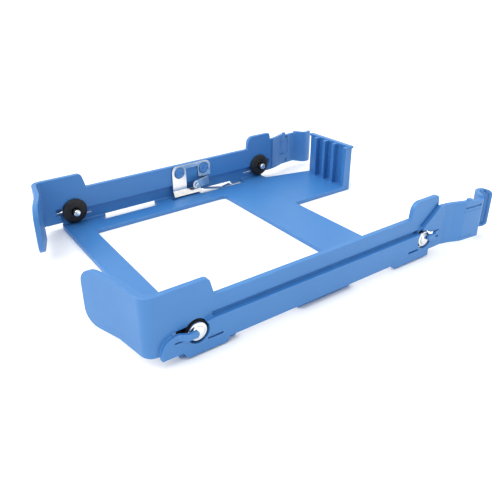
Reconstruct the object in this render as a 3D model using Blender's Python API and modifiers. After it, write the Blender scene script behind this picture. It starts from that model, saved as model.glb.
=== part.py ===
"""Snap-in tray that holds a 3.5-inch hard drive in a desktop computer.

One plastic moulding grips the drive by four rubber-mounted pins, and a stamped spring clip earths
it. The moulding is split where its thin webs flex, so its rails, latches and pin tongues can move.

Frame: +X points to the latches, +Y to the rail with the earthing clip and +Z up. The origin lies
on the surface that the tray rests on, under the middle of the tray.
"""

import math

import bmesh
import bpy
from mathutils import Euler, Matrix, Vector

MM = 0.001

# The drive that the tray holds: a standard 3.5-inch drive
DRIVE_WIDTH = 101.6 * MM
DRIVE_HOLE_PITCH = 101.6 * MM
DRIVE_HOLE_HEIGHT = 6.35 * MM

# Clearances
JOINT_GAP = 0.3 * MM
SLIT = 0.45 * MM
SIDE_CLEARANCE = 1.2 * MM
CUT_OVERRUN = 1.0 * MM

# Walls of the moulding
FLOOR_THICKNESS = 2.0 * MM
PANEL_THICKNESS = 2.0 * MM
BAND_THICKNESS = 1.8 * MM
BAND_STEP = 1.5 * MM

# Heights of the rails above the resting surface
BAND_FOOT = 0.5 * MM
WALL_FOOT = 4.0 * MM
RAIL_HEIGHT = 18.1 * MM
TAB_RISE = 6.4 * MM

# Heights of the rails' edges from the pins' axes
PANEL_FOOT_DROP = 0.15 * MM
LEDGE_RISE = 2.85 * MM
NOSE_RISE = 1.55 * MM

# Floor, measured from the pins' axes, from its own sides and from the tray's middle
FLOOR_PAST_REAR_PIN = 5.7 * MM
FLOOR_PAST_FRONT_PIN = 1.9 * MM
REAR_MEMBER = 10.1 * MM
FRONT_MEMBER_BEHIND_PIN = 29.4 * MM
FRONT_MEMBER = 21.9 * MM
SIDE_STRIP = 13.0 * MM
FLOOR_CORNER = 1.5 * MM
EXTENSION_NEAR_SIDE = 12.7 * MM
EXTENSION_FAR_INSET = 11.8 * MM
EXTENSION_ROOT_INSET = 5.6 * MM

# Slots in the floor's sides
SLOT_DEPTH = 4.3 * MM
SLOT_CORNER = 2.0 * MM
SLOT_TAPER_CORNER = 0.75 * MM
SLOT_TAPER = 4.5 * MM
REAR_SLOT_INBOARD = 9.8 * MM
REAR_SLOT_END = -11.0 * MM
LEAF_ROOT_CLEARANCE = 2.2 * MM
LEAF_TIP_CLEARANCE = 8.3 * MM
CLIP_HOLE = (-3.0 * MM, -0.4 * MM)
CLIP_HOLE_WIDTH = 3.3 * MM

# Finger grip at the end of the floor's extension
GRIP_PAST_PIN = 28.6 * MM
GRIP_WALL = 1.4 * MM
GRIP_RIB_DEPTH = 2.8 * MM
GRIP_RIB = 1.8 * MM
GRIP_RIB_PITCH = 6.5 * MM
GRIP_END_RIB = 2.2 * MM
GRIP_HEIGHT = 22.7 * MM
GRIP_CAP = 0.7 * MM
GRIP_CAP_LIP = 0.5 * MM

# Rail ends and tabs, measured from the pins' axes
REAR_CORNER_PAST_PIN = 16.2 * MM
REAR_CORNER_RADIUS = 4.0 * MM
WALL_STEP_PAST_PIN = 6.2 * MM
NOSE_PAST_PIN = 12.4 * MM
NOSE_RADIUS = 5.2 * MM
BAND_FOOT_PAST_PIN = 5.4 * MM
BAND_FOOT_TAPER = 1.5 * MM
BAND_FOOT_INBOARD = 10.0 * MM
BAND_LIFT = 1.8 * MM
BAND_LIFT_INBOARD = 16.0 * MM
BAND_LIFT_TAPER = 1.0 * MM
NOSE_FOOT = 3.0 * MM
LEDGE_START = 5.7 * MM
REAR_TAB_INBOARD = 5.1 * MM
REAR_TAB_SLOPE = 1.7 * MM
REAR_TAB_CORNER = 2.0 * MM
FRONT_TAB_INBOARD = 7.3 * MM
FRONT_TAB_OUTBOARD = 7.6 * MM
FRONT_TAB_SLOPE = 0.6 * MM
FRONT_TAB_CORNER = 3.5 * MM
FRONT_TAB_END_CORNER = 1.0 * MM
FRONT_FOOT_DROP = 1.8 * MM
BAND_END_PAST_PIN = 3.2 * MM
GUSSET_INBOARD = 1.3 * MM
GUSSET_START_RISE = 4.95 * MM

# End walls: two flared facets on each rail's rear end
END_FACET_INSET = 14.5 * MM
END_FACET_FLARE = 2.4 * MM
END_TIP_INSET = 28.8 * MM
END_TIP_FLARE = 5.1 * MM
END_TIP_RADIUS = 5.5 * MM

# Pins and grommets
PIN_RADIUS = 1.5 * MM
PIN_REACH = 3.0 * MM
PIN_HEAD_RADIUS = 3.1 * MM
PIN_HEAD_THICKNESS = 1.3 * MM
PIN_CHAMFER = 0.4 * MM
SEAT_CLEARANCE = 0.7 * MM
GROMMET_FLOOR_CLEARANCE = 0.75 * MM
GROMMET_FLANGE = 1.3 * MM
GROMMET_DOME = 0.7 * MM
GROMMET_BACK_CHAMFER = 0.35 * MM

# Tongues that hold the pins in, and the slits that let their surroundings flex
TONGUE_ROOT_PAST_PIN = 7.7 * MM
TONGUE_TIP_PAST_PIN = 0.5 * MM
TONGUE_DROP = 0.55 * MM
TONGUE_RISE = 1.75 * MM
TONGUE_THICKNESS = 1.2 * MM
TONGUE_RAMP = (1.6 * MM, 3.9 * MM)
TONGUE_TIP_ROUNDING = 0.96
RELIEF_SLIT = (3.1 * MM, 8.7 * MM)
RELIEF_SLIT_DROP = 3.55 * MM
RELIEF_SLIT_WIDTH = 0.7 * MM

# Latches: a cranked arm that ends in a folded finger pad
LATCH_ROOT_PAST_PIN = 10.2 * MM
LATCH_CRANK = ((14.0 * MM, 0.9 * MM), (19.2 * MM, 2.9 * MM), (29.4 * MM, 4.0 * MM))
LATCH_PAD = ((34.0 * MM, -2.9 * MM), (38.8 * MM, 1.6 * MM))
LATCH_THICKNESS = 1.6 * MM
LATCH_BEND = 2.4 * MM
LATCH_FOOT = 3.1 * MM
LATCH_TOP = 20.3 * MM
LATCH_ARM_TOP = 19.4 * MM
LATCH_CORNER = 2.4 * MM
LATCH_BUMP = (20.6 * MM, 22.4 * MM)
LATCH_BUMP_RISE = 0.6 * MM
POCKET = (18.6 * MM, 24.2 * MM)
POCKET_HEIGHTS = (8.6 * MM, 16.8 * MM)
POCKET_DEPTH = 0.9 * MM

# Earthing clip on the far rail, stamped from sheet steel, measured along the rail from its middle
SHEET = 0.45 * MM
CLIP_LEFT = -1.6 * MM
CLIP_RIGHT = 20.0 * MM
CLIP_CORNER = 2.6 * MM
CLIP_FOOT_REACH = 1.6 * MM
CLIP_FOOT_END = 13.6 * MM
CLIP_WINDOW = (6.1 * MM, 12.9 * MM)
STAKE_PLACES = (2.4 * MM, 16.1 * MM)
STAKE_RADIUS = 2.5 * MM
STAKE_PROUD = 0.5 * MM
FINGER_ROOT = 18.6 * MM
FINGER_LENGTH = 10.4 * MM
FINGER_WIDTH = 4.2 * MM
FINGER_REACH = 2.6 * MM
FINGER_CURL = 1.1 * MM
FINGER_CREST = 0.86
LEAF_ROOT = 15.2 * MM
LEAF_LENGTH = 16.5 * MM
LEAF_WIDTH = 2.6 * MM
LEAF_DIP = 2.4 * MM
LEAF_TIP_RISE = 0.8 * MM
LEAF_SIDE_GAP = 0.6 * MM
LEAF_LOW_POINT = 0.7

# Heights of the clip's features above the floor's top
CLIP_FOOT_LIFT = 0.6 * MM
LEAF_LIFT = 1.4 * MM
CLIP_FOLD_LIFT = 3.4 * MM
FINGER_LIFT = 3.6 * MM

# Depths of the clip's features below the rail's top
CLIP_TOP_DROP = 0.2 * MM
CLIP_WINDOW_DROP = 2.2 * MM
STAKE_DROP = 3.8 * MM

# Drawing resolution
ARC_STEPS = 5
TURN_STEPS = 32
WELD = 0.001 * MM

# Derived places along the tray
HALF_PITCH = DRIVE_HOLE_PITCH / 2
REAR_CORNER = -HALF_PITCH - REAR_CORNER_PAST_PIN
REAR_TIP = REAR_CORNER - END_FACET_FLARE - END_TIP_FLARE
RAIL_END = HALF_PITCH + LATCH_ROOT_PAST_PIN
LATCH_ROOT = RAIL_END + JOINT_GAP
GRIP_FACE = HALF_PITCH + GRIP_PAST_PIN
FRONT_MEMBER_BACK = HALF_PITCH - FRONT_MEMBER_BEHIND_PIN
REAR_SLOT = (-HALF_PITCH + REAR_SLOT_INBOARD, REAR_SLOT_END)
FRONT_SLOT = (LEAF_ROOT - LEAF_ROOT_CLEARANCE, LEAF_ROOT + LEAF_LENGTH + LEAF_TIP_CLEARANCE)

# Derived places across the tray
DRIVE_SIDE = DRIVE_WIDTH / 2
PANEL_INNER = DRIVE_SIDE + SIDE_CLEARANCE
PANEL_OUTER = PANEL_INNER + PANEL_THICKNESS
BAND_OUTER = PANEL_OUTER + BAND_STEP
BAND_INNER = BAND_OUTER - BAND_THICKNESS
FLOOR_SIDE = BAND_INNER - JOINT_GAP
SLOT_SIDE = FLOOR_SIDE - SLOT_DEPTH
EXTENSION_FAR_SIDE = FLOOR_SIDE - EXTENSION_FAR_INSET
EXTENSION_ROOT_SIDE = FLOOR_SIDE - EXTENSION_ROOT_INSET
END_FACET_SIDE = PANEL_OUTER - END_FACET_INSET
END_TIP_SIDE = PANEL_OUTER - END_TIP_INSET
PIN_TIP_SIDE = DRIVE_SIDE - PIN_REACH
HINGE_SIDE = (BAND_INNER + BAND_OUTER) / 2
CLIP_BACK = PANEL_INNER - JOINT_GAP
RIB_SPAN = EXTENSION_FAR_SIDE - EXTENSION_NEAR_SIDE - GRIP_END_RIB - GRIP_RIB
GRIP_RIBS = int(RIB_SPAN / GRIP_RIB_PITCH)

# Derived heights
PIN_HEIGHT = FLOOR_THICKNESS + DRIVE_HOLE_HEIGHT
PANEL_FOOT = PIN_HEIGHT - PANEL_FOOT_DROP
LEDGE_HEIGHT = PIN_HEIGHT + LEDGE_RISE
NOSE_HEIGHT = PIN_HEIGHT + NOSE_RISE
GUSSET_START_HEIGHT = PIN_HEIGHT + GUSSET_START_RISE
TAB_HEIGHT = RAIL_HEIGHT + TAB_RISE
TONGUE_LOW = PIN_HEIGHT - TONGUE_DROP
TONGUE_HIGH = PIN_HEIGHT + TONGUE_RISE
RELIEF_SLIT_HEIGHT = PIN_HEIGHT - RELIEF_SLIT_DROP
HINGE_HEIGHT = FLOOR_THICKNESS / 2
CLIP_FOLD = FLOOR_THICKNESS + CLIP_FOLD_LIFT
CLIP_FOOT = FLOOR_THICKNESS + CLIP_FOOT_LIFT
CLIP_TOP = RAIL_HEIGHT - CLIP_TOP_DROP
CLIP_WINDOW_TOP = RAIL_HEIGHT - CLIP_WINDOW_DROP
STAKE_HEIGHT = RAIL_HEIGHT - STAKE_DROP
FINGER_LOW = FLOOR_THICKNESS + FINGER_LIFT
FINGER_HIGH = FINGER_LOW + FINGER_WIDTH
LEAF_HEIGHT = FLOOR_THICKNESS + LEAF_LIFT

# Derived sizes of the round pieces
GROMMET_SEAT_RADIUS = PIN_HEAD_RADIUS + SEAT_CLEARANCE
GROMMET_RADIUS = DRIVE_HOLE_HEIGHT - GROMMET_FLOOR_CLEARANCE

# Directions that a flat outline can be drawn in: a turn, and the world axis of its thickness
PLAN = ((0, 0, 0), 2)
ELEVATION = ((math.pi / 2, 0, 0), 1)
END_VIEW = ((math.pi / 2, 0, math.pi / 2), 0)

NEAR = -1
FAR = 1
REAR = -1
FRONT = 1
SIDE_NAMES = {NEAR: "near", FAR: "far"}
END_NAMES = {REAR: "rear", FRONT: "front"}


def clear_scene():
    """Remove every object, so that the script can run again in the same file."""
    for obj in list(bpy.data.objects):
        bpy.data.objects.remove(obj)


def new_collection(name):
    """Add an empty collection to the scene."""
    collection = bpy.data.collections.new(name)
    bpy.context.scene.collection.children.link(collection)
    return collection


def finish(name, colour, roughness, metallic):
    """Material with one Principled shader."""
    material = bpy.data.materials.new(name)
    material.use_nodes = True
    shader = material.node_tree.nodes["Principled BSDF"]
    shader.inputs["Base Color"].default_value = (*colour, 1)
    shader.inputs["Roughness"].default_value = roughness
    shader.inputs["Metallic"].default_value = metallic
    material.diffuse_color = (*colour, 1)
    return material


def blue_moulding():
    """Blue plastic of the tray."""
    return finish("blue_moulding", (0.075, 0.215, 0.62), 0.42, 0)


def black_rubber():
    """Soft black rubber of the grommets."""
    return finish("black_rubber", (0.012, 0.012, 0.012), 0.55, 0)


def bright_steel():
    """Plated steel of the pins and the clip."""
    return finish("bright_steel", (0.72, 0.72, 0.7), 0.28, 1)


def filleted(corners):
    """Points of an outline whose corners (u, v, radius) are turned into arcs."""
    points = []
    for index, (u, v, radius) in enumerate(corners):
        corner = Vector((u, v))
        if radius == 0:
            points.append(corner)
            continue
        back = (Vector(corners[index - 1][:2]) - corner).normalized()
        ahead = (Vector(corners[(index + 1) % len(corners)][:2]) - corner).normalized()
        half = back.angle(ahead) / 2
        centre = corner + (back + ahead).normalized() * radius / math.sin(half)
        start = corner + back * radius / math.tan(half) - centre
        sweep = start.angle_signed(corner + ahead * radius / math.tan(half) - centre)
        for step in range(ARC_STEPS + 1):
            turn = Matrix.Rotation(-sweep * step / ARC_STEPS, 2)
            points.append(centre + turn @ start)
    return points


def rectangle(left, right, low, high, radius):
    """Corners of an upright rectangle."""
    return [(left, low, radius), (right, low, radius), (right, high, radius), (left, high, radius)]


def strip(path, offset):
    """Outline of a wall between a path and the same path moved to its left by the offset."""
    points = [Vector(point) for point in path]
    inner = []
    for index, point in enumerate(points):
        back = point - points[index - 1] if index else points[1] - point
        ahead = points[index + 1] - point if index + 1 < len(points) else back
        back = back.normalized()
        ahead = ahead.normalized()
        normal = Vector((-back.y - ahead.y, back.x + ahead.x)).normalized()
        inner.append(point + normal * offset / normal.dot(Vector((-back.y, back.x))))
    return points + inner[::-1]


def weld_and_orient(mesh):
    """Join a converted solid's loose caps and point its faces outwards."""
    work = bmesh.new()
    work.from_mesh(mesh)
    bmesh.ops.remove_doubles(work, verts=work.verts, dist=WELD)
    bmesh.ops.recalc_face_normals(work, faces=work.faces)
    work.to_mesh(mesh)
    work.free()


def flat_solid(name, loops, low, high, direction, collection):
    """Solid of flat outlines: the first loop is its edge and the others are holes."""
    turn, axis = direction
    curve = bpy.data.curves.new(name, "CURVE")
    curve.dimensions = "2D"
    curve.fill_mode = "BOTH"
    curve.extrude = (high - low) / 2
    for loop in loops:
        spline = curve.splines.new("POLY")
        spline.points.add(len(loop) - 1)
        for point, place in zip(spline.points, loop):
            point.co = (place[0], place[1], 0, 1)
        spline.use_cyclic_u = True
    drawn = bpy.data.objects.new(name, curve)
    drawn.rotation_euler = turn
    drawn.location[axis] = (low + high) / 2
    collection.objects.link(drawn)
    bpy.context.view_layer.update()
    evaluated = drawn.evaluated_get(bpy.context.evaluated_depsgraph_get())
    mesh = bpy.data.meshes.new_from_object(evaluated)
    mesh.transform(drawn.matrix_world)
    weld_and_orient(mesh)
    bpy.data.objects.remove(drawn)
    solid = bpy.data.objects.new(name, mesh)
    collection.objects.link(solid)
    return solid


def box(name, low, high, collection):
    """Box between two corners."""
    work = bmesh.new()
    bmesh.ops.create_cube(work, size=1)
    size = [high[axis] - low[axis] for axis in range(3)]
    middle = [(high[axis] + low[axis]) / 2 for axis in range(3)]
    bmesh.ops.transform(work, matrix=Matrix.LocRotScale(middle, None, size), verts=work.verts)
    return from_bmesh(name, work, collection)


def cylinder(name, centre, radius, length, collection):
    """Cylinder along Y about a centre."""
    work = bmesh.new()
    bmesh.ops.create_cone(
        work, cap_ends=True, segments=TURN_STEPS, radius1=radius, radius2=radius, depth=length
    )
    turn = Matrix.Translation(centre) @ Matrix.Rotation(math.pi / 2, 4, "X")
    bmesh.ops.transform(work, matrix=turn, verts=work.verts)
    return from_bmesh(name, work, collection)


def from_bmesh(name, work, collection):
    """Object made of a bmesh."""
    mesh = bpy.data.meshes.new(name)
    work.to_mesh(mesh)
    work.free()
    solid = bpy.data.objects.new(name, mesh)
    collection.objects.link(solid)
    return solid


def combine(solid, tool, operation):
    """Union, difference or intersection with a tool that stays as a hidden guide."""
    modifier = solid.modifiers.new(tool.name, "BOOLEAN")
    modifier.operation = operation
    modifier.solver = "EXACT"
    modifier.object = tool
    tool.hide_render = True
    tool.display_type = "WIRE"


def turned(name, profile, end, side, closed, collection):
    """Solid of revolution about a pin's axis; the profile is (radius, distance from the middle)."""
    mesh = bpy.data.meshes.new(name)
    count = len(profile)
    edges = [(index, index + 1) for index in range(count - 1)]
    if closed:
        edges.append((count - 1, 0))
    mesh.from_pydata([(radius, 0, height) for radius, height in profile], edges, [])
    solid = bpy.data.objects.new(name, mesh)
    collection.objects.link(solid)
    screw = solid.modifiers.new("Turn", "SCREW")
    screw.steps = TURN_STEPS
    screw.render_steps = TURN_STEPS
    screw.use_merge_vertices = True
    screw.merge_threshold = WELD
    solid.location = (end * HALF_PITCH, 0, PIN_HEIGHT)
    solid.rotation_euler = Euler((-side * math.pi / 2, 0, 0))
    return solid


def mirrored(points, first, second):
    """Points of an outline, with each coordinate multiplied by its sign."""
    return [(first * point[0], second * point[1]) for point in points]


def floor_outline():
    """Edge of the floor in plan, with the slots that let the rails flex."""
    rear = -HALF_PITCH - FLOOR_PAST_REAR_PIN
    front = HALF_PITCH + FLOOR_PAST_FRONT_PIN
    member_front = FRONT_MEMBER_BACK + FRONT_MEMBER
    far_edge = [
        (front, FLOOR_SIDE, 0),
        (FRONT_SLOT[1], FLOOR_SIDE, 0),
        (FRONT_SLOT[1], SLOT_SIDE, SLOT_CORNER),
        (FRONT_SLOT[0], SLOT_SIDE, 0),
        (FRONT_SLOT[0], FLOOR_SIDE, 0),
        (REAR_SLOT[1], FLOOR_SIDE, 0),
        (REAR_SLOT[1], SLOT_SIDE, 0),
        (REAR_SLOT[0], SLOT_SIDE, SLOT_TAPER_CORNER),
        (REAR_SLOT[0] + SLOT_TAPER, FLOOR_SIDE, 0),
        (rear, FLOOR_SIDE, 0),
    ]
    near_edge = [(u, -v, radius) for u, v, radius in reversed(far_edge)]
    front_edge = [
        (front, -EXTENSION_ROOT_SIDE, 0),
        (member_front, -EXTENSION_ROOT_SIDE, FLOOR_CORNER),
        (member_front, EXTENSION_NEAR_SIDE, FLOOR_CORNER),
        (GRIP_FACE, EXTENSION_NEAR_SIDE, 0),
        (GRIP_FACE, EXTENSION_FAR_SIDE, 0),
        (front, EXTENSION_ROOT_SIDE, FLOOR_CORNER),
    ]
    return filleted(near_edge + front_edge + far_edge)


def tray_floor(parts, guides):
    """Floor frame with its extension and the ribbed finger grip."""
    window_rear = -HALF_PITCH - FLOOR_PAST_REAR_PIN + REAR_MEMBER
    window_side = FLOOR_SIDE - SIDE_STRIP
    window = rectangle(window_rear, FRONT_MEMBER_BACK, -window_side, window_side, FLOOR_CORNER)
    clip_hole = rectangle(*CLIP_HOLE, SLOT_SIDE, SLOT_SIDE + CLIP_HOLE_WIDTH, 0)
    loops = [floor_outline(), filleted(window), filleted(clip_hole)]
    floor = flat_solid("tray_floor", loops, 0, FLOOR_THICKNESS, PLAN, parts)
    combine(floor, grip(guides), "UNION")
    return floor


def grip_outline():
    """Ribbed wall in plan: a back wall with ribs on its inner face."""
    back = GRIP_FACE - GRIP_WALL
    crest = back - GRIP_RIB_DEPTH
    end_rib = EXTENSION_NEAR_SIDE + GRIP_END_RIB
    corners = [(GRIP_FACE, EXTENSION_NEAR_SIDE, 0), (GRIP_FACE, EXTENSION_FAR_SIDE, 0)]
    corners.append((back, EXTENSION_FAR_SIDE, 0))
    for index in range(1, GRIP_RIBS + 1):
        middle = EXTENSION_FAR_SIDE - index * GRIP_RIB_PITCH
        low = middle - GRIP_RIB / 2
        high = middle + GRIP_RIB / 2
        corners += [(back, high, 0), (crest, high, 0), (crest, low, 0), (back, low, 0)]
    corners += [(back, end_rib, 0), (crest, end_rib, 0), (crest, EXTENSION_NEAR_SIDE, 0)]
    return filleted(corners)


def grip(guides):
    """Finger grip: the ribbed wall under a cap."""
    wall = flat_solid("grip_wall", [grip_outline()], FLOOR_THICKNESS / 2, GRIP_HEIGHT, PLAN, guides)
    back = GRIP_FACE - GRIP_WALL
    cap_low = (back - GRIP_CAP_LIP, EXTENSION_NEAR_SIDE - GRIP_CAP_LIP, GRIP_HEIGHT - GRIP_CAP)
    cap_high = (
        GRIP_FACE + GRIP_CAP_LIP,
        EXTENSION_FAR_SIDE + GRIP_CAP_LIP,
        GRIP_HEIGHT + GRIP_CAP_LIP,
    )
    combine(wall, box("grip_cap", cap_low, cap_high, guides), "UNION")
    return wall


def rail_plan():
    """Rail panel and its flared end wall in plan, drawn for the far side."""
    path = [
        (REAR_TIP, END_TIP_SIDE, 0),
        (REAR_CORNER - END_FACET_FLARE, END_FACET_SIDE, 0),
        (REAR_CORNER, PANEL_OUTER, REAR_CORNER_RADIUS),
        (HALF_PITCH + FRONT_TAB_OUTBOARD, PANEL_OUTER, 0),
    ]
    return strip(filleted(path), -PANEL_THICKNESS)


def rail_elevation():
    """Rail panel seen from its side, with the rear and front tabs."""
    far_rear = REAR_TIP - CUT_OVERRUN
    step = -HALF_PITCH - WALL_STEP_PAST_PIN
    rear_tab = -HALF_PITCH + REAR_TAB_INBOARD
    front_tab = HALF_PITCH - FRONT_TAB_INBOARD
    front_end = HALF_PITCH + FRONT_TAB_OUTBOARD + CUT_OVERRUN
    front_top = HALF_PITCH + FRONT_TAB_OUTBOARD - FRONT_TAB_SLOPE
    return filleted(
        [
            (far_rear, WALL_FOOT, 0),
            (step, WALL_FOOT, 0),
            (step, PANEL_FOOT, 0),
            (HALF_PITCH + BAND_END_PAST_PIN, PANEL_FOOT, 0),
            (front_end, PANEL_FOOT - FRONT_FOOT_DROP, 0),
            (front_end, RAIL_HEIGHT, 0),
            (front_top, TAB_HEIGHT, FRONT_TAB_END_CORNER),
            (front_tab + FRONT_TAB_SLOPE, TAB_HEIGHT, FRONT_TAB_CORNER),
            (front_tab, RAIL_HEIGHT, 0),
            (rear_tab + REAR_TAB_SLOPE, RAIL_HEIGHT, 0),
            (rear_tab, TAB_HEIGHT, REAR_TAB_CORNER),
            (far_rear, TAB_HEIGHT, 0),
        ]
    )


def end_wall_view():
    """Rail seen from its end: the free edge of the end wall has two large round corners."""
    shoulder = BAND_OUTER - CUT_OVERRUN
    far = BAND_OUTER + CUT_OVERRUN
    high = TAB_HEIGHT + CUT_OVERRUN
    return filleted(
        [
            (far, 0, 0),
            (far, high, 0),
            (shoulder, high, 0),
            (shoulder, TAB_HEIGHT, 0),
            (END_TIP_SIDE, TAB_HEIGHT, END_TIP_RADIUS),
            (END_TIP_SIDE, WALL_FOOT, END_TIP_RADIUS),
            (shoulder, WALL_FOOT, 0),
            (shoulder, 0, 0),
        ]
    )


def band_outline():
    """Outer band seen from its side: a round nose, the ledge, and the gusset under the latch."""
    nose = -HALF_PITCH - NOSE_PAST_PIN
    foot = -HALF_PITCH - BAND_FOOT_PAST_PIN
    end = HALF_PITCH + BAND_END_PAST_PIN
    gusset = HALF_PITCH - GUSSET_INBOARD
    rear_foot = -HALF_PITCH + BAND_FOOT_INBOARD
    front_foot = HALF_PITCH - BAND_LIFT_INBOARD
    return filleted(
        [
            (nose, NOSE_FOOT, 0),
            (foot, NOSE_FOOT, 0),
            (foot + BAND_FOOT_TAPER, BAND_FOOT, 0),
            (rear_foot, BAND_FOOT, 0),
            (rear_foot + BAND_LIFT_TAPER, BAND_FOOT + BAND_LIFT, 0),
            (front_foot - BAND_LIFT_TAPER, BAND_FOOT + BAND_LIFT, 0),
            (front_foot, BAND_FOOT, 0),
            (end, BAND_FOOT, 0),
            (end, LATCH_FOOT, 0),
            (RAIL_END, LATCH_FOOT, 0),
            (RAIL_END, LATCH_TOP, 0),
            (HALF_PITCH + FRONT_TAB_OUTBOARD, LATCH_TOP, 0),
            (gusset, GUSSET_START_HEIGHT, 0),
            (gusset, LEDGE_HEIGHT, 0),
            (-HALF_PITCH + LEDGE_START, LEDGE_HEIGHT, 0),
            (-HALF_PITCH - WALL_STEP_PAST_PIN, NOSE_HEIGHT, 0),
            (nose, NOSE_HEIGHT, NOSE_RADIUS),
        ]
    )


def between(sign, inner, outer):
    """Low and high places of a slab between two distances from the middle, on one side of it."""
    return tuple(sorted((sign * inner, sign * outer)))


def rail(side, parts, guides):
    """Side rail: a panel over a thicker band, with its tabs and its end wall."""
    name = f"{SIDE_NAMES[side]}_rail"
    plan = mirrored(rail_plan(), 1, side)
    body = flat_solid(name, [plan], 0, TAB_HEIGHT + CUT_OVERRUN, PLAN, parts)
    across = between(side, END_TIP_SIDE - PANEL_THICKNESS, BAND_OUTER + CUT_OVERRUN)
    outline = flat_solid(f"{name}_outline", [rail_elevation()], *across, ELEVATION, guides)
    combine(body, outline, "INTERSECT")
    end_face = mirrored(end_wall_view(), side, 1)
    along = (REAR_TIP - CUT_OVERRUN, RAIL_END + CUT_OVERRUN)
    combine(body, flat_solid(f"{name}_end", [end_face], *along, END_VIEW, guides), "INTERSECT")
    slab = between(side, BAND_INNER, BAND_OUTER)
    band = flat_solid(f"{name}_band", [band_outline()], *slab, ELEVATION, guides)
    combine(body, band, "UNION")
    if side == FAR:
        add_stakes(body, guides)
    for end in (REAR, FRONT):
        cut_pin_site(body, side, end, guides)
    return hinge_at(body, (0, side * HINGE_SIDE, HINGE_HEIGHT))


def cut_pin_site(body, side, end, guides):
    """Cut the grommet's seat, the tongue's window and the relief slit out of a rail."""
    name = f"{body.name}_{END_NAMES[end]}"
    through = between(side, PANEL_INNER - CUT_OVERRUN, BAND_OUTER + CUT_OVERRUN)
    centre = (end * HALF_PITCH, sum(through) / 2, PIN_HEIGHT)
    seat = cylinder(f"{name}_seat", centre, GROMMET_SEAT_RADIUS, through[1] - through[0], guides)
    combine(body, seat, "DIFFERENCE")
    window = (HALF_PITCH, HALF_PITCH + TONGUE_ROOT_PAST_PIN + SLIT)
    window_heights = (TONGUE_LOW - SLIT, TONGUE_HIGH + SLIT)
    relief = (HALF_PITCH - RELIEF_SLIT[1], HALF_PITCH - RELIEF_SLIT[0])
    relief_foot = RELIEF_SLIT_HEIGHT - RELIEF_SLIT_WIDTH / 2
    relief_heights = (relief_foot, relief_foot + RELIEF_SLIT_WIDTH)
    for label, span, heights in (("window", window, window_heights), ("relief", relief, relief_heights)):
        left, right = between(end, *span)
        low = (left, through[0], heights[0])
        high = (right, through[1], heights[1])
        combine(body, box(f"{name}_{label}", low, high, guides), "DIFFERENCE")


def add_stakes(body, guides):
    """Round stakes that stand out of the far rail and hold the clip's two lugs."""
    inner = CLIP_BACK - SHEET - STAKE_PROUD
    outer = PANEL_INNER + PANEL_THICKNESS / 2
    for index, place in enumerate(STAKE_PLACES):
        centre = (place, (inner + outer) / 2, STAKE_HEIGHT)
        stake = cylinder(f"stake_{index + 1}", centre, STAKE_RADIUS, outer - inner, guides)
        combine(body, stake, "UNION")


def grommet(side, end, parts):
    """Rubber grommet: a domed flange inside the rail and a neck through its wall."""
    bore = PIN_RADIUS + JOINT_GAP
    neck = GROMMET_SEAT_RADIUS - JOINT_GAP
    flange = PANEL_INNER - JOINT_GAP
    face = flange - GROMMET_FLANGE
    neck_end = BAND_OUTER - PIN_HEAD_THICKNESS - JOINT_GAP
    profile = [
        (neck, neck_end),
        (neck, flange),
        (GROMMET_RADIUS - GROMMET_BACK_CHAMFER, flange),
        (GROMMET_RADIUS, flange - GROMMET_BACK_CHAMFER),
        (GROMMET_RADIUS, face + GROMMET_DOME),
        (GROMMET_RADIUS - GROMMET_DOME, face),
        (bore, face),
        (bore, neck_end),
    ]
    name = f"{SIDE_NAMES[side]}_grommet_{END_NAMES[end]}"
    return turned(name, profile, end, side, True, parts)


def pin(side, end, parts):
    """Steel pin: a head in the band, a plain shank and a chamfered tip in the drive's hole."""
    head = BAND_OUTER - PIN_HEAD_THICKNESS
    profile = [
        (0, BAND_OUTER),
        (PIN_HEAD_RADIUS - PIN_CHAMFER, BAND_OUTER),
        (PIN_HEAD_RADIUS, BAND_OUTER - PIN_CHAMFER),
        (PIN_HEAD_RADIUS, head),
        (PIN_RADIUS, head),
        (PIN_RADIUS, PIN_TIP_SIDE + PIN_CHAMFER),
        (PIN_RADIUS - PIN_CHAMFER, PIN_TIP_SIDE),
        (0, PIN_TIP_SIDE),
    ]
    name = f"{SIDE_NAMES[side]}_pin_{END_NAMES[end]}"
    return turned(name, profile, end, side, False, parts)


def pin_tongue(side, end, parts, guides):
    """Springy tongue that steps outwards over a pin's head and keeps it in its seat."""
    name = f"{SIDE_NAMES[side]}_tongue_{END_NAMES[end]}"
    root = HALF_PITCH + TONGUE_ROOT_PAST_PIN
    tip = HALF_PITCH + TONGUE_TIP_PAST_PIN
    path = [
        (root, BAND_OUTER - TONGUE_THICKNESS, 0),
        (root - TONGUE_RAMP[0], BAND_OUTER - TONGUE_THICKNESS, 0),
        (root - TONGUE_RAMP[1], BAND_OUTER + JOINT_GAP, 0),
        (tip, BAND_OUTER + JOINT_GAP, 0),
    ]
    plan = mirrored(strip(filleted(path), -TONGUE_THICKNESS), end, side)
    heights = (TONGUE_LOW - CUT_OVERRUN, TONGUE_HIGH + CUT_OVERRUN)
    body = flat_solid(name, [plan], *heights, PLAN, parts)
    radius = (TONGUE_HIGH - TONGUE_LOW) / 2 * TONGUE_TIP_ROUNDING
    past_root = root + CUT_OVERRUN
    face = filleted(
        [
            (past_root, TONGUE_LOW, 0),
            (past_root, TONGUE_HIGH, 0),
            (tip, TONGUE_HIGH, radius),
            (tip, TONGUE_LOW, radius),
        ]
    )
    face = mirrored(face, end, 1)
    span = between(side, PANEL_INNER, BAND_OUTER + TONGUE_THICKNESS + CUT_OVERRUN)
    combine(body, flat_solid(f"{name}_face", [face], *span, ELEVATION, guides), "INTERSECT")
    return hinge_at(body, (end * root, side * (BAND_OUTER - TONGUE_THICKNESS / 2), TONGUE_LOW))


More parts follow.
